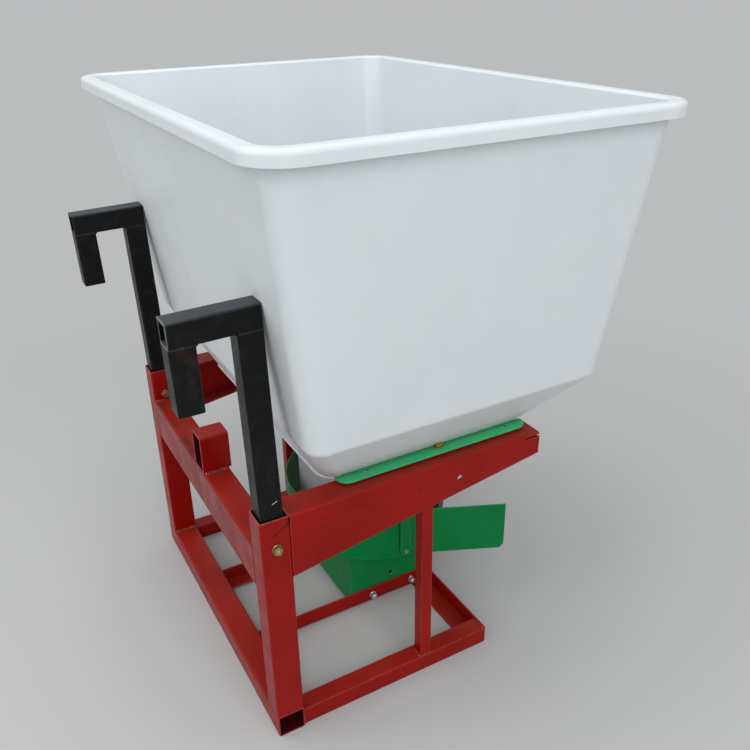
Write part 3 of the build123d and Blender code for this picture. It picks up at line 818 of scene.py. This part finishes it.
# socket on the crossbar
bead(frame_welds, *line_y(SOCKET_LEFT, -370, -309, CROSSBAR_TOP), OUTWARD, UP, 5.0, spatter=9)
bead(frame_welds, *line_y(SOCKET_RIGHT, -370, -309, CROSSBAR_TOP), INWARD, UP, 5.0, spatter=6)
add_piece("frame_welds", frame_welds, weld_red)


def hook_point(x, y, z):
    """A point of a hook in mm. Here y and z run from the cross bolt, z along the leaning stem and
    y square to it towards the rear."""
    return (
        x,
        HOOK_PIVOT_Y + y * math.cos(HOOK_LEAN) - z * math.sin(HOOK_LEAN),
        HOOK_PIVOT_Z + z * math.cos(HOOK_LEAN) + y * math.sin(HOOK_LEAN),
    )


TOP_TUBE_UNDERSIDE = 479  # above the cross bolt
hook_welds = bmesh.new()
for sign in (1, -1):
    # on the side faces, where the stem and the drop meet the top tube
    for y_start, y_end in ((-24, 24), (-148, -100.5)):
        for x, away in ((HOOK_OUTER, OUTWARD), (HOOK_INNER, INWARD)):
            start = hook_point(sign * x, y_start, TOP_TUBE_UNDERSIDE)
            end = hook_point(sign * x, y_end, TOP_TUBE_UNDERSIDE)
            bead(hook_welds, start, end, UP, mirrored(away, sign), 2.9, 1, SURFACE_BEAD)
    # in the corners of the mouth
    for y, away in ((-25, FORWARD), (-99.4, REARWARD)):
        start = hook_point(sign * 372, y, TOP_TUBE_UNDERSIDE)
        end = hook_point(sign * 418, y, TOP_TUBE_UNDERSIDE)
        bead(hook_welds, start, end, away, DOWN, 4.0)
add_piece("hook_welds", hook_welds, weld_black)


# Floor, backdrop and light. The floor fades into the backdrop's tone far out, so no horizon shows.

FLOOR_REACH = 160
FADE_START, FADE_END = 0.8, 2.5
floor_grey = linear(184, 184, 183)
backdrop = linear(187, 188, 189)


def seen(tree):
    """1 for rays from the camera, mirrored rays and rays through clear matter, and 0 for the rest."""
    path = tree.nodes.new("ShaderNodeLightPath")
    straight = calc(tree, "MAXIMUM", path.outputs["Is Camera Ray"], path.outputs["Is Glossy Ray"])
    return calc(tree, "MAXIMUM", straight, path.outputs["Is Transmission Ray"])


def mix_shaders(tree, factor, a, b, target):
    node = tree.nodes.new("ShaderNodeMixShader")
    tree.links.new(factor, node.inputs[0])
    tree.links.new(a, node.inputs[1])
    tree.links.new(b, node.inputs[2])
    tree.links.new(node.outputs["Shader"], target)


floor_mesh = bpy.data.meshes.new("floor")
floor_corners = ((-1, -1), (1, -1), (1, 1), (-1, 1))
floor_mesh.from_pydata(
    [(x * FLOOR_REACH, y * FLOOR_REACH, 0) for x, y in floor_corners], [], [(0, 1, 2, 3)]
)
floor = bpy.data.objects.new("floor", floor_mesh)
bpy.context.scene.collection.objects.link(floor)
floor_material, tree, bsdf = new_material("floor")
bsdf.inputs["Base Color"].default_value = floor_grey
bsdf.inputs["Roughness"].default_value = 0.9
bsdf.inputs["Specular IOR Level"].default_value = 0.1
glow = tree.nodes.new("ShaderNodeEmission")
glow.inputs["Color"].default_value = backdrop
faded = remap(tree, vector(tree, "LENGTH", place(tree)), FADE_START, FADE_END)
mix_shaders(
    tree,
    calc(tree, "MULTIPLY", faded, seen(tree)),
    bsdf.outputs["BSDF"],
    glow.outputs["Emission"],
    tree.nodes["Material Output"].inputs["Surface"],
)
floor_mesh.materials.append(floor_material)

world = bpy.data.worlds.new("world")
bpy.context.scene.world = world
world.use_nodes = True
tree = world.node_tree
sky = tree.nodes["Background"]
sky.inputs["Color"].default_value = (0.94, 0.97, 1.0, 1.0)
sky.inputs["Strength"].default_value = 0.58
backing = tree.nodes.new("ShaderNodeBackground")
backing.inputs["Color"].default_value = backdrop
mix_shaders(
    tree,
    seen(tree),
    sky.outputs["Background"],
    backing.outputs["Background"],
    tree.nodes["World Output"].inputs["Surface"],
)

lamps = (
    # name, place, aimed at, size, power
    ("key", (4.4, -0.7, 3.0), (0, 0, 0.6), 3.4, 104.0),
    ("overhead", (0.0, -0.6, 5.2), (0, 0, 0.6), 4.0, 104.0),
    ("fill", (-0.3, -4.4, 3.0), (0, 0, 0.7), 3.4, 66.0),
)
for name, spot, target, size, power in lamps:
    data = bpy.data.lights.new(name, "AREA")
    data.size = size
    data.energy = power
    lamp = bpy.data.objects.new(name, data)
    lamp.location = spot
    lamp.rotation_mode = "QUATERNION"
    lamp.rotation_quaternion = (Vector(target) - Vector(spot)).to_track_quat("-Z", "Y")
    bpy.context.scene.collection.objects.link(lamp)

# Camera at the photograph's place, as fitted to its edges
CAMERA_PLACE = (1.6592, -0.7865, 1.5663)
FOCAL_LENGTH_PIXELS = 801.0
PICTURE_WIDTH_PIXELS = 750
SENSOR_WIDTH = 36.0  # mm
azimuth, elevation, roll = (math.radians(v) for v in (61.1, 26.5, -1.0))
back = Vector(
    (
        math.sin(azimuth) * math.cos(elevation),
        -math.cos(azimuth) * math.cos(elevation),
        math.sin(elevation),
    )
)
right = Vector((math.cos(azimuth), math.sin(azimuth), 0))
above = back.cross(right)
camera_right = right * math.cos(roll) + above * math.sin(roll)
camera_up = above * math.cos(roll) - right * math.sin(roll)
camera_data = bpy.data.cameras.new("camera")
camera_data.sensor_width = SENSOR_WIDTH
camera_data.lens = SENSOR_WIDTH * FOCAL_LENGTH_PIXELS / PICTURE_WIDTH_PIXELS
camera = bpy.data.objects.new("camera", camera_data)
bpy.context.scene.collection.objects.link(camera)
matrix = Matrix((camera_right, camera_up, back)).transposed().to_4x4()
matrix.translation = CAMERA_PLACE
camera.matrix_world = matrix
bpy.context.scene.camera = camera

bpy.context.scene.view_settings.view_transform = "Standard"
